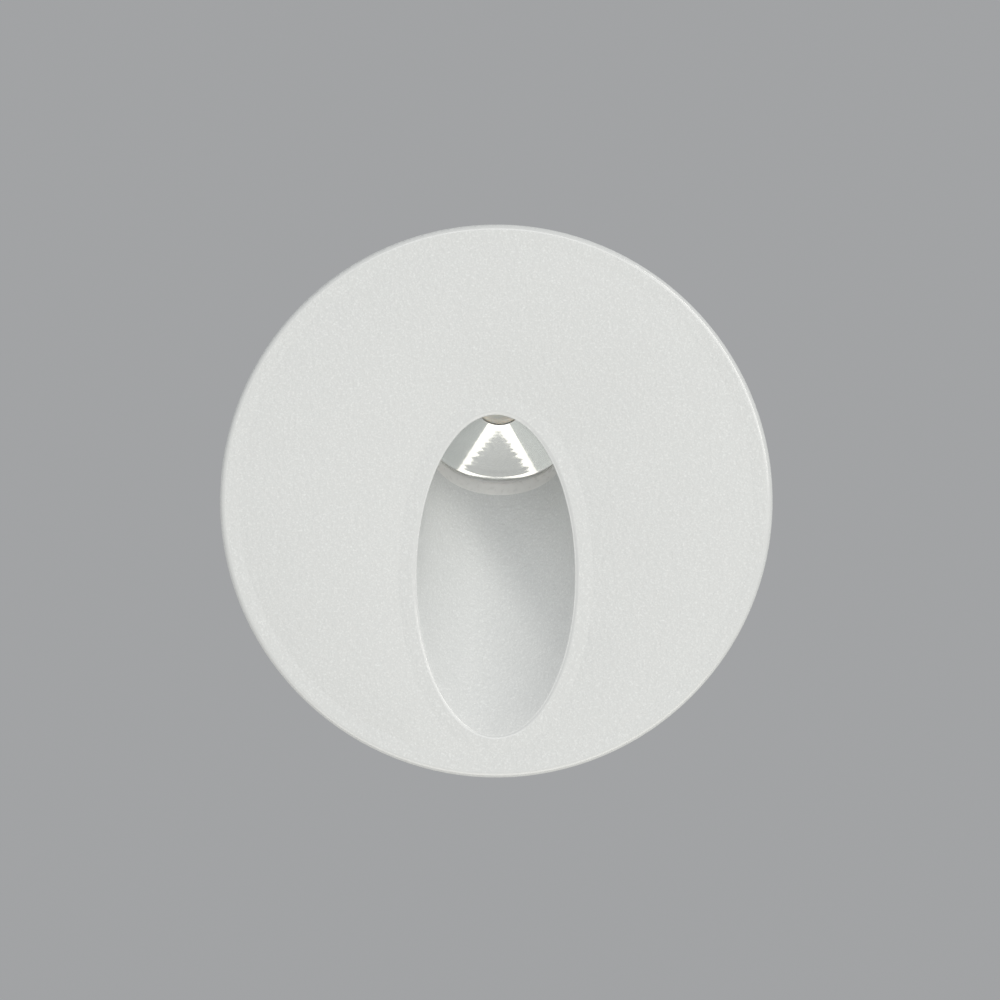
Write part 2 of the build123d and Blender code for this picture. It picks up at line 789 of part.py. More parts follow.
with BuildPart() as gland_body:
    with BuildSketch(rear_plane(housing_floor - gland_inner_length)):
        with Locations(gland_spot):
            Circle(gland_thread_radius)
    extrude(amount=gland_end - housing_floor + gland_inner_length)
    with BuildSketch(rear_plane(gland_base)):
        with Locations(gland_spot):
            RegularPolygon(gland_hex_width / 2, 6, major_radius=False)
    extrude(amount=gland_hex_length)
    with BuildSketch(rear_plane(housing_floor - gland_inner_length)):
        with Locations(gland_spot):
            Circle(gland_bore_radius)
    extrude(amount=gland_end - housing_floor + gland_inner_length, mode=Mode.SUBTRACT)
    with BuildSketch(rear_plane(seal_base)):
        with Locations(gland_spot):
            Circle(gland_seal_radius + seal_clearance)
    extrude(amount=gland_end - seal_base, mode=Mode.SUBTRACT)
gland_body.part.label = "gland_body"
export_step(gland_body.part, "parts/gland_body.step")

with BuildPart() as gland_locknut:
    with BuildSketch(rear_plane(housing_floor)):
        with Locations(gland_spot):
            RegularPolygon(locknut_width / 2, 6, major_radius=False)
            Circle(gland_thread_radius + thread_clearance, mode=Mode.SUBTRACT)
    extrude(amount=-locknut_thickness)
gland_locknut.part.label = "gland_locknut"
export_step(gland_locknut.part, "parts/gland_locknut.step")

with BuildPart() as gland_seal:
    with BuildSketch(rear_plane(seal_base)):
        with Locations(gland_spot):
            Circle(gland_seal_radius)
            Circle(gland_seal_bore, mode=Mode.SUBTRACT)
    extrude(amount=nut_shelf - seal_base - seal_clearance)
gland_seal.part.label = "gland_seal"
export_step(gland_seal.part, "parts/gland_seal.step")

with BuildPart() as gland_nut:
    with BuildSketch(rear_plane(nut_start)):
        with Locations(gland_spot):
            RegularPolygon(gland_hex_width / 2, 6, major_radius=False)
    extrude(amount=gland_nut_reach)
    with BuildSketch(rear_plane(nut_shelf)):
        with Locations(gland_spot):
            Circle(gland_hex_width / 2)
    extrude(amount=gland_nut_nose)
    fillet(gland_nut.edges().filter_by(GeomType.CIRCLE).sort_by(Axis.Y)[-1], gland_nut_round)
    with BuildSketch(rear_plane(nut_start)):
        with Locations(gland_spot):
            Circle(gland_thread_radius + thread_clearance)
    extrude(amount=gland_nut_reach, mode=Mode.SUBTRACT)
    with BuildSketch(rear_plane(nut_shelf)):
        with Locations(gland_spot):
            Circle(gland_nut_opening)
    extrude(amount=gland_nut_nose, mode=Mode.SUBTRACT)
gland_nut.part.label = "gland_nut"
export_step(gland_nut.part, "parts/gland_nut.step")

# LED wires: out of the tube's notch along the LED board, then straight back to the driver board
for wire_name, wire_side in (("led_wire_red", 0.5), ("led_wire_black", -0.5)):
    with BuildPart() as led_wire:
        with BuildLine() as wire_route:
            lane = lamp_plane(reflector_back - wire_radius - lamp_clearance)
            wire_from = lane.from_local_coords((wire_side * wire_spacing, wire_start, 0))
            wire_turn = lane.from_local_coords((wire_side * wire_spacing, wire_run, 0))
            wire_to = Vector(wire_turn.X, board_front, wire_turn.Z)
            FilletPolyline(wire_from, wire_turn, wire_to, radius=wire_bend)
        with BuildSketch(Plane(origin=wire_route.line @ 0, z_dir=wire_route.line % 0)):
            Circle(wire_radius)
        sweep()
    wire_volume = pi * wire_radius**2 * wire_route.wire().length
    print(wire_name, "bend radius", wire_bend, "volume ratio", round(led_wire.part.volume / wire_volume, 4))
    led_wire.part.label = wire_name
    export_step(led_wire.part, f"parts/{wire_name}.step")

# Wall clips
for side_name, side in (("right", 1), ("left", -1)):
    with BuildPart() as clip_pin:
        with BuildSketch(Plane.XY.offset(-lug_outside)):
            with Locations((side * clip_pivot, clip_pivot_depth)):
                Circle(pin_radius)
        extrude(amount=2 * lug_outside)
        with BuildSketch(Plane.XY.offset(lug_outside)):
            with Locations((side * clip_pivot, clip_pivot_depth)):
                Circle(pin_head_radius)
        extrude(amount=pin_head_height)
    clip_pin.part.label = f"clip_pin_{side_name}"
    export_step(clip_pin.part, f"parts/clip_pin_{side_name}.step")

    # Lever: a stamped channel with an ear at each side of the spring and a flat tongue
    tongue_start = spring_coil_radius + 2 * spring_wire_radius + lever_thickness
    tongue_middle = (lever_inner_face + lever_outer_face) / 2
    with BuildPart() as clip_lever:
        for level in (ear_inside, -ear_outside):
            with BuildSketch(clip_plane(side).offset(level)):
                Circle(lever_ear_radius)
                with Locations(((tongue_start + lever_ear_length) / 2, tongue_middle)):
                    Rectangle(lever_ear_length - tongue_start, lever_thickness)
                make_hull()
                Circle(pin_radius + lever_pin_clearance, mode=Mode.SUBTRACT)
            extrude(amount=lever_ear_thickness)
        with BuildSketch(clip_plane(side)):
            with Locations(((tongue_start + lever_length) / 2, tongue_middle)):
                Rectangle(lever_length - tongue_start, lever_thickness)
        extrude(amount=ear_outside, both=True)
    clip_lever.part.label = f"clip_lever_{side_name}"
    export_step(clip_lever.part, f"parts/clip_lever_{side_name}.step")

    # Pad: a rubber boot pushed over the tongue's end
    pad_start = lever_length - pad_cover
    pad_end = lever_length + pad_tip
    with BuildPart() as clip_pad:
        with BuildSketch(clip_plane(side)):
            with Locations(((pad_start + pad_end) / 2, tongue_middle)):
                Rectangle(pad_end - pad_start, lever_thickness + 2 * pad_wall)
        extrude(amount=ear_outside + pad_wall, both=True)
        fillet(clip_pad.edges().filter_by(Axis.Z), pad_edge_round)
        with BuildSketch(clip_plane(side)):
            with Locations(((tongue_start + lever_length) / 2, tongue_middle)):
                Rectangle(lever_length - tongue_start, lever_thickness)
        extrude(amount=ear_outside, both=True, mode=Mode.SUBTRACT)
    clip_pad.part.label = f"clip_pad_{side_name}"
    export_step(clip_pad.part, f"parts/clip_pad_{side_name}.step")

    # Spring: one wire with a leg on the housing's flat, open turns round the pin, a leg under the tongue.
    # Each quarter turn is a pair of arcs that meet the helix's direction at both ends.
    frame = clip_plane(side)
    quarter_count = ceil(coil_turn / 90)
    coil_points = []
    coil_ways = []
    for i in range(quarter_count + 1):
        share = i / quarter_count
        angle = radians(180 - clip_lean - coil_turn * share)
        outward = frame.x_dir * cos(angle) + frame.y_dir * sin(angle)
        onward = frame.x_dir * sin(angle) - frame.y_dir * cos(angle)
        climb = spring_pitch / (2 * pi) if 0 < i < quarter_count else 0
        level = coil_half_length * (2 * share - 1)
        coil_points.append(frame.origin + outward * spring_coil_radius + frame.z_dir * level)
        coil_ways.append((onward * spring_coil_radius + frame.z_dir * climb).normalized())
    with BuildPart() as clip_spring:
        with BuildLine() as spring_path:
            Line(coil_points[0] + Vector(0, spring_fixed_leg, 0), coil_points[0])
            for start, end, way, next_way in zip(coil_points, coil_points[1:], coil_ways, coil_ways[1:]):
                chord = end - start
                bend = 2 * (1 - way.dot(next_way))
                reach = chord.dot(way + next_way)
                arm = (sqrt(reach**2 + bend * chord.dot(chord)) - reach) / bend
                joint = (start + end + (way - next_way) * arm) / 2
                half = joint - start
                joint_way = half * (2 * half.dot(way) / half.length**2) - way
                TangentArc(start, joint, tangent=way)
                TangentArc(joint, end, tangent=joint_way)
            Line(coil_points[-1], coil_points[-1] + frame.x_dir * spring_free_leg)
        with BuildSketch(Plane(origin=spring_path.line @ 0, z_dir=spring_path.line % 0)):
            Circle(spring_wire_radius)
        sweep()
    spring_volume = pi * spring_wire_radius**2 * spring_path.wire().length
    print(
        f"clip_spring_{side_name} least gap to itself",
        round(least_gap(spring_path.wire(), spring_wire_radius), 3),
        "volume ratio",
        round(clip_spring.part.volume / spring_volume, 4),
    )
    clip_spring.part.label = f"clip_spring_{side_name}"
    export_step(clip_spring.part, f"parts/clip_spring_{side_name}.step")
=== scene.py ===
from math import cos, pi, radians, sin, tan
from random import Random

import bpy
from mathutils import Matrix, Vector


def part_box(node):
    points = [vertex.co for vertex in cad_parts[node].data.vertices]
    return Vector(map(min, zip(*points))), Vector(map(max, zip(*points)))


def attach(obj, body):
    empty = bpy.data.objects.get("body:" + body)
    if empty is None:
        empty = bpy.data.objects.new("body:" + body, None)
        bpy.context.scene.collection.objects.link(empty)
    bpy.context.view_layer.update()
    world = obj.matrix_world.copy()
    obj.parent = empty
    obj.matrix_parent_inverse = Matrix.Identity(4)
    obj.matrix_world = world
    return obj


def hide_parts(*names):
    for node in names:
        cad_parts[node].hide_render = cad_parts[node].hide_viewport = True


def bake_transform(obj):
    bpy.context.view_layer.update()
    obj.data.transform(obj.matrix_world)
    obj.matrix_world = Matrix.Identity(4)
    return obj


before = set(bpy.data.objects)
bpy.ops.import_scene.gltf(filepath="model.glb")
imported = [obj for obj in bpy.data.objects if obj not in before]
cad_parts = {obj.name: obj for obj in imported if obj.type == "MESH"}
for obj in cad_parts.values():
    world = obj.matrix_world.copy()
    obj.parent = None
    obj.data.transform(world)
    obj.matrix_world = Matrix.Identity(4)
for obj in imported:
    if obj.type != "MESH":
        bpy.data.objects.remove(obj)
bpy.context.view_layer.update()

# Face plate: die-cast aluminium with the scoop and the lamp tube in one casting.
# It is coated with a fine-texture polyester powder in light grey, which leaves grains and a soft peel.
# Along the mouth and the rim the powder flows into a slightly thicker, smoother edge.
mm = 0.001
plate_grey = (0.707, 0.727, 0.728, 1)
plate_grain = 0.26 * mm
plate_peel = 0.6 * mm
plate_cloud = 14 * mm
grain_depth = 0.025 * mm
peel_depth = 0.11 * mm
edge_flow = 0.9 * mm
lip_rounding = 0.8 * mm
lip_sweep = 42
lip_steps = 12
lip_rise = 0.12 * mm
lip_ramp = 2.0 * mm
coat_root = 0.1 * mm
rim_band = 1.0 * mm
weld_gap = 0.001 * mm
sharp_angle = radians(26)
crease_angle = radians(40)
flat_angle = radians(0.5)


def new_finish(name, colour, roughness, metallic=0.0):
    """A material whose even values stand on its shader; returns it with its node tree and shader."""
    finish = bpy.data.materials.new(name)
    finish.use_nodes = True
    tree = finish.node_tree
    shader = tree.nodes["Principled BSDF"]
    shader.inputs["Base Color"].default_value = colour
    shader.inputs["Roughness"].default_value = roughness
    shader.inputs["Metallic"].default_value = metallic
    return finish, tree, shader


def grain(tree, size, detail=2.0, stretch=(1, 1, 1), turn=(0, 0, 0)):
    """Noise of a given grain size in metres in the object's own space, drawn out along turned axes."""
    place = tree.nodes.new("ShaderNodeTexCoord")
    rotated = tree.nodes.new("ShaderNodeMapping")
    rotated.inputs["Rotation"].default_value = turn
    drawn = tree.nodes.new("ShaderNodeMapping")
    drawn.inputs["Scale"].default_value = stretch
    noise = tree.nodes.new("ShaderNodeTexNoise")
    noise.inputs["Scale"].default_value = 1 / size
    noise.inputs["Detail"].default_value = detail
    tree.links.new(place.outputs["Object"], rotated.inputs["Vector"])
    tree.links.new(rotated.outputs["Vector"], drawn.inputs["Vector"])
    tree.links.new(drawn.outputs["Vector"], noise.inputs["Vector"])
    return noise.outputs["Fac"]


def between(tree, share, low, high, start=0.3, end=0.7):
    """A number that runs from low to high as the noise runs over its usual span."""
    spread = tree.nodes.new("ShaderNodeMapRange")
    spread.inputs["From Min"].default_value = start
    spread.inputs["From Max"].default_value = end
    spread.inputs["To Min"].default_value = low
    spread.inputs["To Max"].default_value = high
    tree.links.new(share, spread.inputs["Value"])
    return spread.outputs["Result"]


def tinted(tree, share, dark, light, start=0.3, end=0.7):
    """A colour that runs from dark to light with the noise."""
    ramp = tree.nodes.new("ShaderNodeValToRGB")
    ramp.color_ramp.elements[0].position = start
    ramp.color_ramp.elements[0].color = dark
    ramp.color_ramp.elements[1].position = end
    ramp.color_ramp.elements[1].color = light
    tree.links.new(share, ramp.inputs["Fac"])
    return ramp.outputs["Color"]


def laid_over(tree, lower, upper, share):
    """One colour over another, as much of it as the share says."""
    mix = tree.nodes.new("ShaderNodeMix")
    mix.data_type = "RGBA"
    tree.links.new(share, mix.inputs["Factor"])
    tree.links.new(lower, mix.inputs["A"])
    tree.links.new(upper, mix.inputs["B"])
    return mix.outputs["Result"]


def coloured(tree, shader, share, dark, light, start=0.3, end=0.7):
    """Lets the surface's colour run from dark to light with the noise."""
    tree.links.new(tinted(tree, share, dark, light, start, end), shader.inputs["Base Color"])


def roughened(tree, shader, share, low, high, start=0.3, end=0.7):
    """Lets the surface's roughness run from low to high with the noise."""
    tree.links.new(between(tree, share, low, high, start, end), shader.inputs["Roughness"])


def raised(tree, shader, height, depth, strength=1.0):
    """Lifts the surface by a height map; each call stands on the one before it."""
    bump = tree.nodes.new("ShaderNodeBump")
    bump.inputs["Distance"].default_value = depth
    bump.inputs["Strength"].default_value = strength
    tree.links.new(height, bump.inputs["Height"])
    if shader.inputs["Normal"].is_linked:
        tree.links.new(shader.inputs["Normal"].links[0].from_socket, bump.inputs["Normal"])
    tree.links.new(bump.outputs["Normal"], shader.inputs["Normal"])


def shade(colour, share):
    """The same colour, darker or lighter by a share."""
    return (colour[0] * share, colour[1] * share, colour[2] * share, 1)


def smooth_shading():
    """A modifier's node group that joins the faces' seams and shades all but the sharp edges smooth."""
    group = bpy.data.node_groups.new("smooth_shading", "GeometryNodeTree")
    group.interface.new_socket("Geometry", in_out="INPUT", socket_type="NodeSocketGeometry")
    group.interface.new_socket("Geometry", in_out="OUTPUT", socket_type="NodeSocketGeometry")
    start = group.nodes.new("NodeGroupInput")
    end = group.nodes.new("NodeGroupOutput")
    weld = group.nodes.new("GeometryNodeMergeByDistance")
    weld.inputs["Distance"].default_value = weld_gap
    faces = group.nodes.new("GeometryNodeSetShadeSmooth")
    edges = group.nodes.new("GeometryNodeSetShadeSmooth")
    edges.domain = "EDGE"
    edges.inputs["Shade Smooth"].default_value = False
    angle = group.nodes.new("GeometryNodeInputMeshEdgeAngle")
    sharp = group.nodes.new("FunctionNodeCompare")
    sharp.operation = "GREATER_THAN"
    sharp.inputs["B"].default_value = sharp_angle
    group.links.new(start.outputs[0], weld.inputs["Geometry"])
    group.links.new(weld.outputs["Geometry"], faces.inputs["Geometry"])
    group.links.new(faces.outputs["Geometry"], edges.inputs["Geometry"])
    group.links.new(angle.outputs["Unsigned Angle"], sharp.inputs["A"])
    group.links.new(sharp.outputs["Result"], edges.inputs["Selection"])
    group.links.new(edges.outputs["Geometry"], end.inputs[0])
    return group


smooth_group = smooth_shading()


def dress(node, finish, edge=0.0):
    """Gives a CAD node its finish, smooth shading and, where asked, a small rounding on its sharp edges."""
    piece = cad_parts[node]
    for slot in piece.material_slots:
        slot.material = finish
    shading = piece.modifiers.new("smooth", "NODES")
    shading.node_group = smooth_group
    if edge:
        flat = piece.modifiers.new("flat_faces", "DECIMATE")
        flat.decimate_type = "DISSOLVE"
        flat.angle_limit = flat_angle
        rounding = piece.modifiers.new("edge", "BEVEL")
        rounding.width = edge
        rounding.segments = 2
        rounding.limit_method = "ANGLE"
        rounding.angle_limit = crease_angle
        rounding.harden_normals = True
    return piece


powder_coat, tree, shader = new_finish("powder_coat", plate_grey, roughness=0.5)
fine_grain = grain(tree, plate_grain)
cloud = grain(tree, plate_cloud)
even_coat = tinted(tree, cloud, dark=shade(plate_grey, 0.992), light=shade(plate_grey, 1.008))
# The grains vary in tone, and the brightest are painted lighter still as painted sparkle.
grains_and_painted_sparkle = tinted(tree, fine_grain, shade(plate_grey, 0.95), shade(plate_grey, 1.22), start=0.48, end=0.8)
tree.links.new(laid_over(tree, even_coat, grains_and_painted_sparkle, fine_grain), shader.inputs["Base Color"])
roughened(tree, shader, fine_grain, low=0.58, high=0.4)
raised(tree, shader, grain(tree, plate_peel), depth=peel_depth)
raised(tree, shader, fine_grain, depth=grain_depth)
face_plate = dress("face_plate", powder_coat)

edge_coat, tree, shader = new_finish("edge_coat", plate_grey, roughness=0.25)
shader.inputs["Specular IOR Level"].default_value = 1.0
flow = grain(tree, edge_flow)
coloured(tree, shader, flow, dark=shade(plate_grey, 0.99), light=shade(plate_grey, 1.02))
roughened(tree, shader, flow, low=0.15, high=0.22)
raised(tree, shader, flow, depth=0.004 * mm, strength=0.5)


def fat_edge(name, middle, half_width, half_height, crown, smooth_bands, steps=360):
    """Powder built up along a round or oval edge: a thin closed ring with an (across, height) profile."""
    count = len(crown)
    points = []
    faces = []
    for step in range(steps):
        turn = 2 * pi * step / steps
        spot = middle + Vector((half_width * cos(turn), 0, half_height * sin(turn)))
        outward = Vector((half_height * cos(turn), 0, half_width * sin(turn))).normalized()
        for side, (across, height) in enumerate(crown):
            points.append(spot + outward * across + Vector((0, -height, 0)))
            after = (side + 1) % count
            near = step * count
            far = (step + 1) % steps * count
            faces.append((near + side, near + after, far + after, far + side))
    mesh = bpy.data.meshes.new(name)
    mesh.from_pydata(points, [], faces)
    mesh.polygons.foreach_set("use_smooth", [True] * len(faces))
    mesh.materials.append(powder_coat)
    mesh.materials.append(edge_coat)
    bands = [1 if band in smooth_bands else 0 for band in range(count)]
    mesh.polygons.foreach_set("material_index", bands * steps)
    mesh.set_sharp_from_angle(angle=crease_angle)
    piece = bpy.data.objects.new(name, mesh)
    bpy.context.scene.collection.objects.link(piece)
    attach(piece, "fixture")


plate_spots = [corner.co for corner in face_plate.data.vertices]
front = min(spot.y for spot in plate_spots)
plate_radius = max(spot.xz.length for spot in plate_spots)
flat_edges = [spot for spot in plate_spots if spot.y < front + weld_gap]
flat_radius = max(spot.xz.length for spot in flat_edges)
mouth_edge = [spot for spot in flat_edges if spot.xz.length < flat_radius - rim_band]
mouth_width = max(spot.x for spot in mouth_edge)
mouth_top = max(spot.z for spot in mouth_edge)
mouth_bottom = min(spot.z for spot in mouth_edge)
mouth_height = (mouth_top - mouth_bottom) / 2
mouth_middle = Vector((0, front, (mouth_top + mouth_bottom) / 2))
lip_crown = []
for step in range(lip_steps + 1):
    lean = radians(lip_sweep * (1 - step / lip_steps))
    lip_reach = lip_rounding * (sin(radians(lip_sweep)) - sin(lean))
    lip_crown.append((lip_reach, lip_rise - lip_rounding * (1 - cos(lean))))
lip_width = lip_crown[-1][0] + lip_ramp
lip_crown += [(lip_width, 0), (lip_width, -coat_root), (0, -coat_root)]
lip_bands = range(lip_steps - 1)
fat_edge("mouth_fat_edge", mouth_middle, mouth_width, mouth_height, lip_crown, lip_bands)
rim_reach = flat_radius + (plate_radius - flat_radius) * sin(radians(lip_sweep))
rim_crown = [(-across, height) for across, height in reversed(lip_crown)]
rim_bands = range(len(rim_crown) - lip_steps, len(rim_crown) - 1)
fat_edge("rim_fat_edge", Vector((0, front, 0)), rim_reach, rim_reach, rim_crown, rim_bands)

# Lens seal: a moulded ring of clear, slightly milky silicone with a sleeve stretched round the glass.
# Its lip lines the top of the scoop, and a bead at the lip's upper end presses on the glass.
lamp_tilt = radians(40)
lamp_axis = Vector((0, sin(lamp_tilt), cos(lamp_tilt)))
seal_overlap = 0.4 * mm
seal_gap = 0.05 * mm
seal_taper = 0.1 * mm
seal_bead = 0.12 * mm
seal_rounding = 0.2 * mm
silicone_milk = (0.96, 0.965, 0.95, 1)


def lamp_size(node):
    """Front centre, radius and length of a round CAD node that lies on the lamp's axis."""
    low, high = (Vector(corner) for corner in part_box(node))
    radius = (high.x - low.x) / 2
    length = (high.y - low.y - 2 * radius * cos(lamp_tilt)) / sin(lamp_tilt)
    return (low + high) / 2 - lamp_axis * length / 2, radius, length


def arc(middle, radius, start, end, steps=8):
    """Points of a round stretch of a profile, from one angle to another in degrees."""
    turns = [radians(start + (end - start) * step / steps) for step in range(steps + 1)]
    return [(middle[0] + radius * cos(turn), middle[1] + radius * sin(turn)) for turn in turns]


def turned(name, profile, finishes, kinds, origin, axis, segments=160):
    """A body turned about an axis from a profile of (radius, height) pairs, with a finish for each band."""
    rows = []
    points = []
    for radius, height in profile:
        if points and (radius, height) == profile[0]:
            rows.append(0)
            continue
        rows.append(len(points))
        count = 1 if radius == 0 else segments
        for step in range(count):
            angle = 2 * pi * step / count
            points.append((radius * cos(angle), radius * sin(angle), height))
    faces = []
    bands = []
    for row in range(len(profile) - 1):
        low = rows[row]
        high = rows[row + 1]
        for step in range(segments):
            after = (step + 1) % segments
            corners = [low + step, low + after, high + after, high + step]
            if profile[row][0] == 0:
                corners = [low, high + after, high + step]
            if profile[row + 1][0] == 0:
                corners = [low + step, low + after, high]
            faces.append(corners)
            bands.append(kinds[row])
    mesh = bpy.data.meshes.new(name)
    mesh.from_pydata(points, [], faces)
    mesh.polygons.foreach_set("material_index", bands)
    mesh.polygons.foreach_set("use_smooth", [True] * len(faces))
    for finish in finishes:
        mesh.materials.append(finish)
    place = Matrix.Translation(origin) @ axis.to_track_quat("Z", "Y").to_matrix().to_4x4()
    mesh.transform(place)
    mesh.set_sharp_from_angle(angle=sharp_angle)
    piece = bpy.data.objects.new(name, mesh)
    bpy.context.scene.collection.objects.link(piece)
    return piece


milky_silicone, tree, shader = new_finish("milky_silicone", silicone_milk, roughness=0.3)
shader.inputs["Subsurface Weight"].default_value = 0.08
shader.inputs["Subsurface Radius"].default_value = (1.0 * mm, 1.0 * mm, 0.9 * mm)
shader.inputs["Coat Weight"].default_value = 1.0
shader.inputs["Coat Roughness"].default_value = 0.12
bloom = grain(tree, size=0.7 * mm)
coloured(tree, shader, bloom, dark=shade(silicone_milk, 0.97), light=shade(silicone_milk, 1.02))
roughened(tree, shader, bloom, low=0.24, high=0.4)
raised(tree, shader, grain(tree, size=0.12 * mm), depth=0.004 * mm, strength=0.5)

seal_front, seal_radius, seal_length = lamp_size("lens_seal")
lens_front, lens_radius, lens_thickness = lamp_size("lens")
seal_lip = seal_length - lens_thickness
lip_bore = lens_radius - seal_overlap
sleeve_bore = lens_radius + seal_gap
bead_middle = (lip_bore - seal_taper + seal_bead / 2, seal_lip - seal_bead)
seal_profile = [
    (seal_radius, 0),
    (seal_radius, seal_length),
    (sleeve_bore, seal_length),
    (sleeve_bore, seal_lip),
    (bead_middle[0] - seal_bead, seal_lip),
]
seal_profile += arc(bead_middle, seal_bead, 180, 230)
seal_profile += arc((lip_bore + seal_rounding, seal_rounding), seal_rounding, 180, 270)
seal_profile += [(seal_radius, 0)]
seal_ring = turned(
    "seal_ring",
    seal_profile,
    [milky_silicone],
    [0] * (len(seal_profile) - 1),
    seal_front,
    lamp_axis,
)
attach(seal_ring, "fixture")
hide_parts("lens_seal")

# Lens: a disc of clear float glass with polished faces and a ground edge and border.
# It lies on the seal's lip, inside the sleeve, and lets the light through without a shadow of its own.
lens_bevel = 0.06 * mm
border_gap = 0.02 * mm
glass_clear = (0.985, 0.995, 0.99, 1)
edge_white = (0.985, 0.99, 0.985, 1)
glass_index = 1.5

clear_glass, tree, shader = new_finish("clear_glass", glass_clear, roughness=0.0)
shader.inputs["Transmission Weight"].default_value = 1.0
shader.inputs["IOR"].default_value = glass_index
haze = grain(tree, size=2.2 * mm, detail=4.0)
roughened(tree, shader, haze, low=0.0, high=0.02, start=0.45, end=0.75)

ground_glass, tree, shader = new_finish("ground_glass", edge_white, roughness=0.6)
shader.inputs["IOR"].default_value = glass_index
grinding = grain(tree, size=0.1 * mm)
coloured(tree, shader, grinding, dark=shade(edge_white, 0.96), light=edge_white)
roughened(tree, shader, grinding, low=0.5, high=0.75)

lens_rim = lens_radius - lens_bevel
lens_border = lip_bore + border_gap
lens_disc = turned(
    "lens_disc",
    [
        (0, 0),
        (lens_rim, 0),
        (lens_radius, lens_bevel),
        (lens_radius, lens_thickness - lens_bevel),
        (lens_rim, lens_thickness),
        (lens_border, lens_thickness),
        (0, lens_thickness),
    ],
    [clear_glass, ground_glass],
    [0, 1, 1, 1, 1, 0],
    lens_front,
    lamp_axis,
)
lens_disc.visible_shadow = False
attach(lens_disc, "fixture")
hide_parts("lens")

# Reflector: turned from aluminium bar and polished on the lathe, so fine rings run round its hollow cone.
# The heat sink presses its thin mouth against the back of the glass.
mouth_margin = 0.05 * mm
land_margin = 0.05 * mm
land_lean = radians(55)
mouth_bevel = 0.2 * mm
mouth_lean = radians(66)
cone_height = 4.5 * mm
cone_hollow = 0.13 * mm
neck_radius = 2.8 * mm
pocket_radius = 4.5 * mm
pocket_height = 4.56 * mm
reflector_length = 5.55 * mm
ring_seed = 4
ring_count = 52
ring_wave = 0.0055 * mm
ring_fade = 0.75
turned_colour = (0.985, 0.99, 0.98, 1)

turned_metal, tree, shader = new_finish("turned_metal", turned_colour, roughness=0.1, metallic=1.0)
smear = grain(tree, size=0.5 * mm, detail=3.0)
coloured(tree, shader, smear, dark=shade(turned_colour, 0.97), light=turned_colour)
roughened(tree, shader, smear, low=0.06, high=0.12)
raised(tree, shader, grain(tree, size=0.8 * mm), depth=0.001 * mm, strength=0.5)

reflector_radius = (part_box("reflector")[1][0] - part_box("reflector")[0][0]) / 2
mouth_radius = lens_radius + mouth_margin
land_radius = lip_bore - land_margin
land_height = (mouth_radius - land_radius) / tan(land_lean)
cone_radius = land_radius - mouth_bevel
cone_start = land_height + mouth_bevel / tan(mouth_lean)
chance = Random(ring_seed)
cone = [(mouth_radius, 0), (land_radius, land_height)]
for ring in range(ring_count + 1):
    share = ring / ring_count
    rise = cone_start + (cone_height - cone_start) * share + cone_hollow * 4 * share * (1 - share)
    rise += ring_wave * (1 - ring_fade * share) * chance.uniform(-1, 1)
    cone.append((cone_radius + (neck_radius - cone_radius) * share, rise))
reflector_profile = [
    (reflector_radius, 0),
    (reflector_radius, reflector_length),
    (pocket_radius, reflector_length),
    (pocket_radius, pocket_height),
    (neck_radius, pocket_height),
]
reflector_profile += reversed(cone)
reflector_profile += [(reflector_radius, 0)]
reflector_cone = turned(
    "reflector_cone",
    reflector_profile,
    [turned_metal],
    [0] * (len(reflector_profile) - 1),
    lens_front + lamp_axis * lens_thickness,
    lamp_axis,
    segments=240,
)
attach(reflector_cone, "fixture")
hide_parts("reflector")

# LED: a ceramic chip carrier with warm-white phosphor under a shallow silicone dome.
# It is soldered to its board and stands in the pocket behind the reflector's neck.
dome_radius = 2.79 * mm
dome_height = 0.53 * mm
dome_crown = 0.05 * mm
dome_rounding = 0.05 * mm
half_way = 0.5
ceramic_white = (0.84, 0.83, 0.79, 1)
phosphor_tan = (0.94, 0.86, 0.76, 1)
painted_shade_grey = (0.675, 0.678, 0.656, 1)

led_ceramic, tree, shader = new_finish("led_ceramic", ceramic_white, roughness=0.5)
fired = grain(tree, size=0.2 * mm)
coloured(tree, shader, fired, dark=shade(ceramic_white, 0.93), light=shade(ceramic_white, 1.04))
roughened(tree, shader, fired, low=0.4, high=0.58)
raised(tree, shader, fired, depth=0.006 * mm, strength=0.6)
dress("led_base", led_ceramic)

led_low, led_high = (Vector(corner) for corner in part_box("led_base"))
led_height = (led_high.y - led_low.y - (led_high.x - led_low.x) * cos(lamp_tilt)) / sin(lamp_tilt)
led_face = (led_low + led_high) / 2 - lamp_axis * led_height / 2

led_silicone, tree, shader = new_finish("led_silicone", phosphor_tan, roughness=0.16)
shader.inputs["Subsurface Weight"].default_value = 0.5
shader.inputs["Subsurface Radius"].default_value = (1.2 * mm, 1.0 * mm, 0.8 * mm)
place = tree.nodes.new("ShaderNodeTexCoord")
off_centre = tree.nodes.new("ShaderNodeVectorMath")
off_centre.operation = "DISTANCE"
off_centre.inputs[1].default_value = led_face
tree.links.new(place.outputs["Object"], off_centre.inputs[0])
# The dome's middle is painted grey as painted shade, and towards its rim it turns to the tan of the
# phosphor.
edge_share = between(tree, off_centre.outputs["Value"], 0.0, 1.0, half_way * dome_radius, dome_radius)
powder = grain(tree, size=0.08 * mm)
painted_shade_middle = tinted(tree, powder, dark=shade(painted_shade_grey, 0.96), light=shade(painted_shade_grey, 1.03))
tan_rim = tinted(tree, powder, dark=shade(phosphor_tan, 0.96), light=shade(phosphor_tan, 1.03))
tree.links.new(laid_over(tree, painted_shade_middle, tan_rim, edge_share), shader.inputs["Base Color"])
roughened(tree, shader, powder, low=0.12, high=0.2)
raised(tree, shader, grain(tree, size=0.9 * mm), depth=0.004 * mm, strength=0.4)

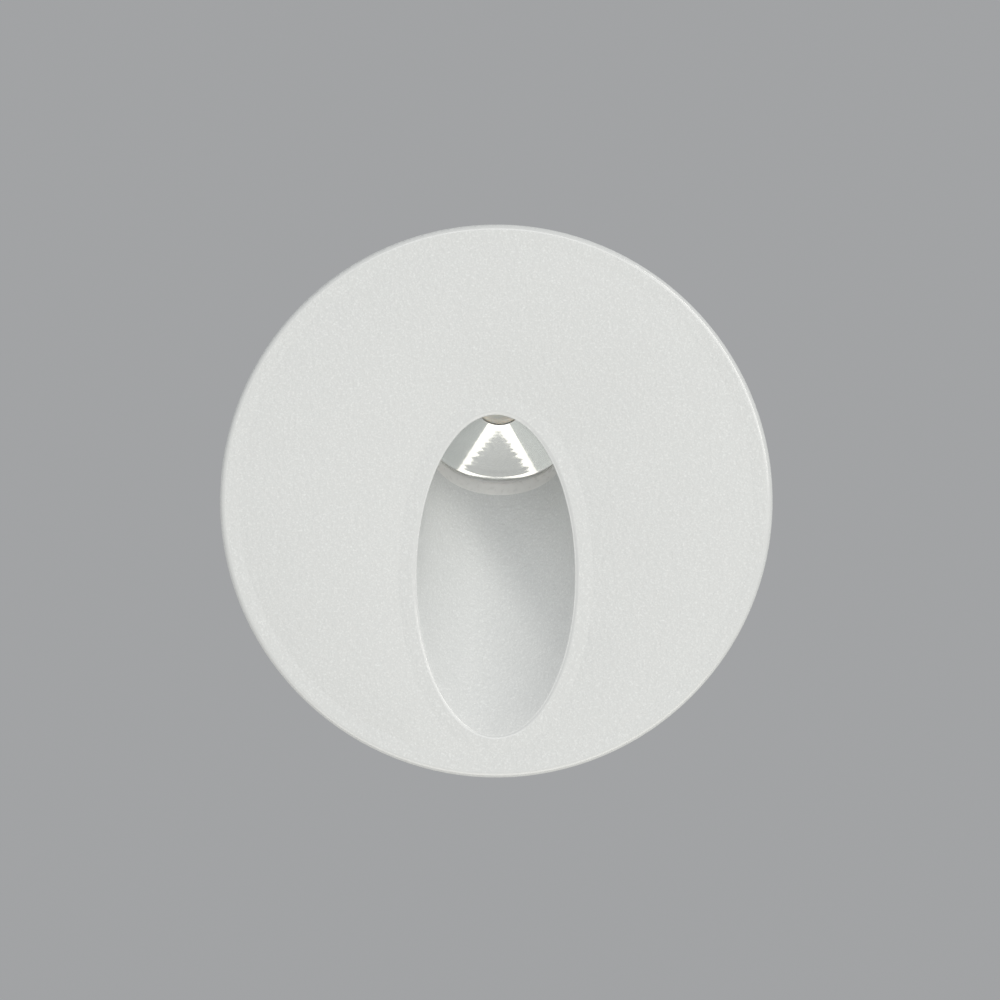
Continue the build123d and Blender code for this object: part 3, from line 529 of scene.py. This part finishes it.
dome_shoulder = (dome_radius - dome_rounding, dome_rounding + dome_crown - dome_height)
dome_profile = [(0, -dome_height)]
dome_profile += [(dome_radius * half_way, dome_crown * half_way**2 - dome_height)]
dome_profile += arc(dome_shoulder, dome_rounding, -90, 0)
dome_profile += [(dome_radius, 0), (0, 0)]
led_cap = turned(
    "led_cap",
    dome_profile,
    [led_silicone],
    [0] * (len(dome_profile) - 1),
    led_face,
    lamp_axis,
    segments=96,
)
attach(led_cap, "fixture")
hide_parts("led_dome")

# LED board: a round metal-core board with white solder mask, two screws through it.
# It carries the heat of the LED into the thermal pad.
mask_white = (0.76, 0.77, 0.75, 1)
led_board_face, tree, shader = new_finish("led_board_face", mask_white, roughness=0.35)
mask = grain(tree, size=0.5 * mm)
coloured(tree, shader, mask, dark=shade(mask_white, 0.95), light=shade(mask_white, 1.03))
roughened(tree, shader, mask, low=0.28, high=0.42)
raised(tree, shader, grain(tree, size=1.4 * mm, detail=0.0), depth=0.02 * mm, strength=0.5)
dress("led_board", led_board_face)

# Screws: small pan heads of steel with a bluish zinc plating, cold-headed and thread-rolled.
# They hold the LED board, the heat sink, the driver board and the housing's flange.
# The smallest two draw up the clamps of the terminal block.
zinc_blue = (0.6, 0.615, 0.64, 1)
zinc_warm = (0.66, 0.645, 0.6, 1)
screw_nodes = (
    "led_board_screws",
    "heat_sink_screws",
    "driver_board_screws",
    "housing_screws",
    "terminal_screws",
)
screw_steel, tree, shader = new_finish("screw_steel", zinc_blue, roughness=0.35, metallic=1.0)
plating = grain(tree, size=1.3 * mm)
coloured(tree, shader, plating, dark=zinc_warm, light=zinc_blue, start=0.35, end=0.6)
roughened(tree, shader, grain(tree, size=0.3 * mm), low=0.26, high=0.46)
raised(tree, shader, grain(tree, size=0.16 * mm), depth=0.006 * mm, strength=0.6)
for node in screw_nodes:
    dress(node, screw_steel)

# Thermal pad: a soft sheet of silicone filled with ceramic powder.
# It is cut round and squeezed between the LED board and the heat sink.
pad_blue = (0.27, 0.32, 0.4, 1)
thermal_silicone, tree, shader = new_finish("thermal_silicone", pad_blue, roughness=0.7)
filler = grain(tree, size=0.14 * mm)
coloured(tree, shader, filler, dark=shade(pad_blue, 0.85), light=shade(pad_blue, 1.15))
roughened(tree, shader, filler, low=0.6, high=0.8)
raised(tree, shader, filler, depth=0.01 * mm, strength=0.5)
dress("thermal_pad", thermal_silicone)

# Heat sink: a length of finned aluminium extrusion, drilled for its screws and left bare.
# The die leaves straight lines along the fins.
sink_grey = (0.66, 0.665, 0.67, 1)
along_fins = (1, 0.03, 0.03)
bare_aluminium, tree, shader = new_finish("bare_aluminium", sink_grey, roughness=0.38, metallic=1.0)
die_lines = grain(tree, size=0.22 * mm, detail=3.0, stretch=along_fins)
coloured(tree, shader, die_lines, dark=shade(sink_grey, 0.88), light=shade(sink_grey, 1.06))
roughened(tree, shader, die_lines, low=0.3, high=0.46)
raised(tree, shader, die_lines, depth=0.012 * mm, strength=0.6)
dress("heat_sink", bare_aluminium)

# Rear housing: an injection-moulded can of black glass-filled nylon with a flange and clip lugs.
# Its mould was spark-eroded, so it has a fine matt skin, with faint swirls of glass fibre.
nylon_black = (0.021, 0.0215, 0.023, 1)
nylon_swirl = (0.034, 0.0345, 0.036, 1)
nylon_edge = 0.25 * mm
along_can = (1, 0.35, 1)
housing_nylon, tree, shader = new_finish("housing_nylon", nylon_black, roughness=0.55)
swirl = grain(tree, size=7 * mm, detail=5.0, stretch=along_can)
spark = grain(tree, size=0.24 * mm)
coloured(tree, shader, swirl, dark=nylon_black, light=nylon_swirl, start=0.42, end=0.72)
roughened(tree, shader, spark, low=0.48, high=0.64)
raised(tree, shader, grain(tree, size=5 * mm), depth=0.03 * mm, strength=0.3)
raised(tree, shader, spark, depth=0.02 * mm, strength=0.7)
dress("rear_housing", housing_nylon, nylon_edge)

# Cable gland: body, locknut and clamping nut moulded from tougher black nylon in a polished mould.
# The body is screwed into the can's back against a rubber washer.
gland_black = (0.014, 0.0142, 0.0148, 1)
gland_nylon, tree, shader = new_finish("gland_nylon", gland_black, roughness=0.34)
flow = grain(tree, size=3 * mm, detail=3.0)
coloured(tree, shader, flow, dark=gland_black, light=shade(gland_black, 1.5))
roughened(tree, shader, flow, low=0.28, high=0.42)
raised(tree, shader, grain(tree, size=0.5 * mm), depth=0.01 * mm, strength=0.4)
for node in ("gland_body", "gland_locknut", "gland_nut"):
    dress(node, gland_nylon, nylon_edge)

# Rubber seals: the gland's washer and cable seal, and the ring in the housing's flange.
# They are moulded from black rubber and have a dull, slightly dusty skin.
rubber_black = (0.012, 0.012, 0.0125, 1)
black_rubber, tree, shader = new_finish("black_rubber", rubber_black, roughness=0.7)
dust = grain(tree, size=1.2 * mm, detail=4.0)
coloured(tree, shader, dust, dark=rubber_black, light=shade(rubber_black, 2.2), start=0.4, end=0.8)
roughened(tree, shader, dust, low=0.62, high=0.82)
raised(tree, shader, grain(tree, size=0.2 * mm), depth=0.01 * mm, strength=0.5)
for node in ("gland_washer", "gland_seal", "housing_seal"):
    dress(node, black_rubber)

# Driver board: a round glass-epoxy board under green solder mask, on four posts in the can.
# Copper runs show as paler, slightly raised lines under the mask.
mask_green = (0.012, 0.075, 0.032, 1)
copper_green = (0.03, 0.15, 0.055, 1)
runs_per_metre = 260
run_width = 0.035
circuit_board, tree, shader = new_finish("circuit_board", mask_green, roughness=0.3)
place = tree.nodes.new("ShaderNodeTexCoord")
upright = tree.nodes.new("ShaderNodeMapping")
upright.inputs["Rotation"].default_value = (pi / 2, 0, 0)
runs = tree.nodes.new("ShaderNodeTexBrick")
runs.inputs["Scale"].default_value = runs_per_metre
runs.inputs["Mortar Size"].default_value = run_width
runs.inputs["Color1"].default_value = mask_green
runs.inputs["Color2"].default_value = shade(mask_green, 1.25)
runs.inputs["Mortar"].default_value = copper_green
tree.links.new(place.outputs["Object"], upright.inputs["Vector"])
tree.links.new(upright.outputs["Vector"], runs.inputs["Vector"])
tree.links.new(runs.outputs["Color"], shader.inputs["Base Color"])
roughened(tree, shader, grain(tree, size=0.6 * mm), low=0.22, high=0.4)
raised(tree, shader, runs.outputs["Fac"], depth=0.03 * mm, strength=0.6)
dress("driver_board", circuit_board)

# Driver parts: a sleeved capacitor, a ferrite inductor, two moulded chips and a lacquered fuse.
# Each is soldered to the board and has the skin of its own stuff.
sleeve_blue = (0.012, 0.014, 0.03, 1)
along_sleeve = (1, 0.2, 1)
capacitor_sleeve, tree, shader = new_finish("capacitor_sleeve", sleeve_blue, roughness=0.28)
shrink = grain(tree, size=1.8 * mm)
wrinkle = grain(tree, size=0.9 * mm, stretch=along_sleeve)
coloured(tree, shader, shrink, dark=sleeve_blue, light=shade(sleeve_blue, 1.5))
roughened(tree, shader, shrink, low=0.22, high=0.36)
raised(tree, shader, wrinkle, depth=0.02 * mm, strength=0.4)
dress("driver_capacitor", capacitor_sleeve)

ferrite_grey = (0.035, 0.034, 0.034, 1)
ferrite, tree, shader = new_finish("ferrite", ferrite_grey, roughness=0.6)
pressed = grain(tree, size=0.18 * mm)
coloured(tree, shader, pressed, dark=shade(ferrite_grey, 0.75), light=shade(ferrite_grey, 1.3))
roughened(tree, shader, pressed, low=0.5, high=0.7)
raised(tree, shader, pressed, depth=0.015 * mm, strength=0.6)
dress("driver_inductor", ferrite)

epoxy_black = (0.013, 0.013, 0.014, 1)
black_epoxy, tree, shader = new_finish("black_epoxy", epoxy_black, roughness=0.5)
moulded = grain(tree, size=0.1 * mm)
coloured(tree, shader, moulded, dark=shade(epoxy_black, 0.8), light=shade(epoxy_black, 1.4))
roughened(tree, shader, moulded, low=0.42, high=0.6)
raised(tree, shader, moulded, depth=0.008 * mm, strength=0.5)
dress("driver_rectifier", black_epoxy)
dress("driver_chip", black_epoxy)

fuse_cream = (0.58, 0.53, 0.4, 1)
fuse_body, tree, shader = new_finish("fuse_body", fuse_cream, roughness=0.3)
lacquer = grain(tree, size=1.0 * mm)
coloured(tree, shader, lacquer, dark=shade(fuse_cream, 0.85), light=shade(fuse_cream, 1.08))
roughened(tree, shader, lacquer, low=0.22, high=0.38)
raised(tree, shader, lacquer, depth=0.03 * mm, strength=0.4)
dress("driver_fuse", fuse_body)

# Terminal block: a moulded green nylon body with two nickel-plated brass clamps.
# It is soldered to the driver board, and a screw from above draws up each clamp.
terminal_green = (0.035, 0.15, 0.075, 1)
terminal_nylon, tree, shader = new_finish("terminal_nylon", terminal_green, roughness=0.45)
skin = grain(tree, size=0.8 * mm)
coloured(tree, shader, skin, dark=shade(terminal_green, 0.88), light=shade(terminal_green, 1.12))
roughened(tree, shader, skin, low=0.38, high=0.52)
raised(tree, shader, grain(tree, size=0.25 * mm), depth=0.012 * mm, strength=0.5)
dress("terminal_block", terminal_nylon)

nickel = (0.6, 0.575, 0.5, 1)
plated_brass, tree, shader = new_finish("plated_brass", nickel, roughness=0.28, metallic=1.0)
tumbled = grain(tree, size=0.5 * mm)
coloured(tree, shader, tumbled, dark=shade(nickel, 0.88), light=shade(nickel, 1.08))
roughened(tree, shader, tumbled, low=0.2, high=0.38)
raised(tree, shader, grain(tree, size=0.15 * mm), depth=0.006 * mm, strength=0.5)
dress("terminal_clamps", plated_brass)

# LED wires: two copper cores with thin, slightly glossy plastic insulation drawn on in a die.
# They are soldered to the LED board and to the driver board.
wire_red = (0.33, 0.012, 0.01, 1)
wire_black = (0.013, 0.013, 0.014, 1)
for node, colour in (("led_wire_red", wire_red), ("led_wire_black", wire_black)):
    insulation, tree, shader = new_finish(node + "_insulation", colour, roughness=0.36)
    pull = grain(tree, size=0.6 * mm)
    coloured(tree, shader, pull, dark=shade(colour, 0.85), light=shade(colour, 1.12))
    roughened(tree, shader, pull, low=0.3, high=0.44)
    raised(tree, shader, grain(tree, size=0.2 * mm), depth=0.006 * mm, strength=0.4)
    dress(node, insulation)

# Wall gasket: a ring of black closed-cell foam rubber, die-cut and stuck to the plate's back.
# Its cut and faces show small open cells.
foam_black = (0.018, 0.018, 0.019, 1)
cell_size = 0.32 * mm
foam, tree, shader = new_finish("foam", foam_black, roughness=0.9)
place = tree.nodes.new("ShaderNodeTexCoord")
cells = tree.nodes.new("ShaderNodeTexVoronoi")
cells.inputs["Scale"].default_value = 1 / cell_size
tree.links.new(place.outputs["Object"], cells.inputs["Vector"])
pores_and_painted_shade = cells.outputs["Distance"]
# The colour is darker where the surface sinks between the cells, as painted shade.
coloured(tree, shader, pores_and_painted_shade, shade(foam_black, 1.7), shade(foam_black, 0.6), start=0.2, end=0.75)
roughened(tree, shader, grain(tree, size=1.5 * mm), low=0.82, high=0.95)
raised(tree, shader, pores_and_painted_shade, depth=-0.05 * mm, strength=0.8)
dress("wall_gasket", foam)

# Clip levers: stamped and folded from stainless strip, so the rolling lines run along the tongue.
# Each turns on its pin between the two lugs of the can.
clip_lean = radians(53)
lever_edge = 0.08 * mm
along_strip = (0.03, 1, 1)
strip_grey = (0.54, 0.535, 0.52, 1)
for side, side_name in ((1, "right"), (-1, "left")):
    steel_name = "clip_steel_" + side_name
    clip_steel, tree, shader = new_finish(steel_name, strip_grey, roughness=0.32, metallic=1.0)
    rolling = grain(tree, size=0.1 * mm, detail=3.0, stretch=along_strip, turn=(0, 0, side * clip_lean))
    handling = grain(tree, size=3 * mm)
    coloured(tree, shader, rolling, dark=shade(strip_grey, 0.9), light=shade(strip_grey, 1.08))
    roughened(tree, shader, handling, low=0.24, high=0.4)
    raised(tree, shader, rolling, depth=0.006 * mm, strength=0.6)
    dress("clip_lever_" + side_name, clip_steel, lever_edge)

# Clip pads: rubber boots, moulded to the shape of the levers' tips.
# They are pushed on the tongues, so that the wall isn't scratched.
boot_black = (0.016, 0.016, 0.017, 1)
boot_edge = 0.2 * mm
clip_rubber, tree, shader = new_finish("clip_rubber", boot_black, roughness=0.66)
scuff = grain(tree, size=1.0 * mm, detail=4.0)
coloured(tree, shader, scuff, dark=boot_black, light=shade(boot_black, 2.4), start=0.45, end=0.8)
roughened(tree, shader, scuff, low=0.58, high=0.8)
raised(tree, shader, grain(tree, size=0.22 * mm), depth=0.015 * mm, strength=0.6)
dress("clip_pad_right", clip_rubber, boot_edge)
dress("clip_pad_left", clip_rubber, boot_edge)

# Clip pins: turned from stainless rod, with a low head at one end.
# Each goes through the lugs, the lever and the spring, and is peened over the lug at its other end.
pin_grey = (0.56, 0.555, 0.545, 1)
pin_edge = 0.12 * mm
round_pin = (0.05, 0.05, 1)
pin_steel, tree, shader = new_finish("pin_steel", pin_grey, roughness=0.28, metallic=1.0)
turning = grain(tree, size=0.14 * mm, stretch=round_pin)
coloured(tree, shader, turning, dark=shade(pin_grey, 0.88), light=shade(pin_grey, 1.08))
roughened(tree, shader, turning, low=0.2, high=0.36)
raised(tree, shader, turning, depth=0.005 * mm, strength=0.6)
dress("clip_pin_right", pin_steel, pin_edge)
dress("clip_pin_left", pin_steel, pin_edge)

# Clip springs: wound from drawn spring wire, with open turns round the pin.
# One leg lies on the can's flat, and the other pushes the tongue towards the wall.
wire_radius = 0.4 * mm
wire_steps = 96
wire_sides = 14
wire_end_reach = 0.3
wire_end_width = 0.72
wire_crease = radians(50)
coil_radius = 1.7 * mm
coil_half = 2.094 * mm
coil_sweep = 1117
fixed_leg = 6.0 * mm
free_leg = 7.5 * mm
leg_parts = 4
along_wire = (1, 1, 0.4)
spring_grey = (0.4, 0.4, 0.405, 1)
spring_steel, tree, shader = new_finish("spring_steel", spring_grey, roughness=0.26, metallic=1.0)
drawing = grain(tree, size=0.12 * mm, detail=3.0, stretch=along_wire)
oil = grain(tree, size=1.4 * mm)
coloured(tree, shader, drawing, dark=shade(spring_grey, 0.86), light=shade(spring_grey, 1.1))
roughened(tree, shader, oil, low=0.18, high=0.36)
raised(tree, shader, drawing, depth=0.004 * mm, strength=0.6)


def wire_tube(name, route, radius, sides, finish):
    """A round wire along a route of points, with domed ends."""
    head = route[0] + (route[0] - route[1]).normalized() * radius * wire_end_reach
    tail = route[-1] + (route[-1] - route[-2]).normalized() * radius * wire_end_reach
    line = [head] + route + [tail]
    width = [radius * wire_end_width] + [radius] * len(route) + [radius * wire_end_width]
    points = []
    across = Vector((0, 0, 1))
    for step, middle in enumerate(line):
        ahead = line[min(step + 1, len(line) - 1)] - line[max(step - 1, 0)]
        ahead.normalize()
        across = across - ahead * across.dot(ahead)
        across.normalize()
        beside = ahead.cross(across)
        for side in range(sides):
            angle = 2 * pi * side / sides
            points.append(middle + (across * cos(angle) + beside * sin(angle)) * width[step])
    faces = []
    for step in range(len(line) - 1):
        low = step * sides
        high = low + sides
        for side in range(sides):
            after = (side + 1) % sides
            faces.append((low + side, low + after, high + after, high + side))
    faces.append(tuple(reversed(range(sides))))
    faces.append(tuple(range((len(line) - 1) * sides, len(line) * sides)))
    mesh = bpy.data.meshes.new(name)
    mesh.from_pydata(points, [], faces)
    mesh.polygons.foreach_set("use_smooth", [True] * len(faces))
    mesh.materials.append(finish)
    mesh.set_sharp_from_angle(angle=wire_crease)
    piece = bpy.data.objects.new(name, mesh)
    bpy.context.scene.collection.objects.link(piece)
    return piece


for side, side_name in ((1, "right"), (-1, "left")):
    pin_low, pin_high = (Vector(corner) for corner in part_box("clip_pin_" + side_name))
    pivot = Vector(((pin_low.x + pin_high.x) / 2, (pin_low.y + pin_high.y) / 2, 0))
    along = Vector((side * cos(clip_lean), -sin(clip_lean), 0))
    away = Vector((-side * sin(clip_lean), -cos(clip_lean), 0))
    down = Vector((0, 0, -side))
    coil = []
    for step in range(wire_steps + 1):
        share = step / wire_steps
        angle = pi - clip_lean - radians(coil_sweep) * share
        outward = along * cos(angle) + away * sin(angle)
        coil.append(pivot + outward * coil_radius + down * coil_half * (2 * share - 1))
    first_leg = [coil[0] + Vector((0, fixed_leg * part / leg_parts, 0)) for part in range(leg_parts, 0, -1)]
    last_leg = [coil[-1] + along * free_leg * part / leg_parts for part in range(1, leg_parts + 1)]
    spring = wire_tube(
        "torsion_spring_" + side_name,
        first_leg + coil + last_leg,
        wire_radius,
        wire_sides,
        spring_steel,
    )
    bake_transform(spring)
    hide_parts("clip_spring_" + side_name)

# Studio: a wide pale floor well below the light, under an even sky.
# A tall soft box stands at the right, a wide one in front and another below.
# The camera stands far off, level with the plate and a little to its right.
picture_width = 145.06 * mm
picture_shift = (3 / 1000, 1 / 1000)
camera_distance = 1.5
camera_yaw = radians(2.0)
film_width = 36
nearest_view = 0.01
sky_white = (1, 1, 1, 1)
sky_brightness = 0.54
backdrop_grey = (0.360, 0.366, 0.374, 1)
floor_depth = 1.0
floor_radius = 4.0
floor_pale = (0.8, 0.8, 0.79, 1)


def soft_box(name, azimuth, elevation, distance, width, height, brightness, tint):
    """A rectangular area light that faces the plate; at a brightness of 1 its reflection is white."""
    lamp = bpy.data.lights.new(name, "AREA")
    lamp.shape = "RECTANGLE"
    lamp.size = width
    lamp.size_y = height
    lamp.energy = brightness * pi * width * height
    lamp.color = tint
    piece = bpy.data.objects.new(name, lamp)
    turn = radians(azimuth)
    lift = radians(elevation)
    piece.location = Vector((sin(turn) * cos(lift), -cos(turn) * cos(lift), sin(lift))) * distance
    piece.rotation_euler = (-piece.location).to_track_quat("-Z", "Y").to_euler()
    piece.visible_camera = False
    bpy.context.scene.collection.objects.link(piece)


soft_box(
    "key_light",
    azimuth=42,
    elevation=27,
    distance=1.1,
    width=0.26,
    height=0.95,
    brightness=4.2,
    tint=(1.0, 0.97, 0.91),
)
soft_box(
    "front_panel",
    azimuth=8,
    elevation=18,
    distance=1.6,
    width=1.2,
    height=1.0,
    brightness=1.55,
    tint=(1.0, 0.99, 0.97),
)
soft_box(
    "low_panel",
    azimuth=5,
    elevation=-59,
    distance=0.9,
    width=1.8,
    height=0.48,
    brightness=1.2,
    tint=(1.0, 0.945, 0.85),
)

floor_finish, tree, shader = new_finish("floor_finish", floor_pale, roughness=0.8)
cast = grain(tree, size=60 * mm, detail=4.0)
coloured(tree, shader, cast, dark=shade(floor_pale, 0.98), light=shade(floor_pale, 1.02))
floor = turned(
    "floor",
    [(0, 0), (floor_radius, 0)],
    [floor_finish],
    [0],
    Vector((0, 0, -floor_depth)),
    Vector((0, 0, 1)),
    segments=96,
)

sky = bpy.data.worlds.new("sky")
sky.use_nodes = True
bpy.context.scene.world = sky
tree = sky.node_tree
even_light = tree.nodes["Background"]
even_light.inputs["Color"].default_value = sky_white
even_light.inputs["Strength"].default_value = sky_brightness
backdrop = tree.nodes.new("ShaderNodeBackground")
backdrop.inputs["Color"].default_value = backdrop_grey
path = tree.nodes.new("ShaderNodeLightPath")
seen = tree.nodes.new("ShaderNodeMath")
seen.operation = "MAXIMUM"
mirrored = tree.nodes.new("ShaderNodeMath")
mirrored.operation = "MAXIMUM"
choice = tree.nodes.new("ShaderNodeMixShader")
tree.links.new(path.outputs["Is Camera Ray"], seen.inputs[0])
tree.links.new(path.outputs["Is Glossy Ray"], seen.inputs[1])
tree.links.new(seen.outputs["Value"], mirrored.inputs[0])
tree.links.new(path.outputs["Is Transmission Ray"], mirrored.inputs[1])
tree.links.new(mirrored.outputs["Value"], choice.inputs["Fac"])
tree.links.new(even_light.outputs["Background"], choice.inputs[1])
tree.links.new(backdrop.outputs["Background"], choice.inputs[2])
tree.links.new(choice.outputs["Shader"], tree.nodes["World Output"].inputs["Surface"])

camera = bpy.data.cameras.new("camera")
camera.sensor_width = film_width
camera.lens = film_width * camera_distance / picture_width
camera.shift_x, camera.shift_y = picture_shift
camera.clip_start = nearest_view
camera_stand = bpy.data.objects.new("camera", camera)
camera_stand.location = (sin(camera_yaw) * camera_distance, -cos(camera_yaw) * camera_distance, 0)
camera_stand.rotation_euler = (pi / 2, 0, camera_yaw)
bpy.context.scene.collection.objects.link(camera_stand)
bpy.context.scene.camera = camera_stand
bpy.context.scene.view_settings.view_transform = "Standard"
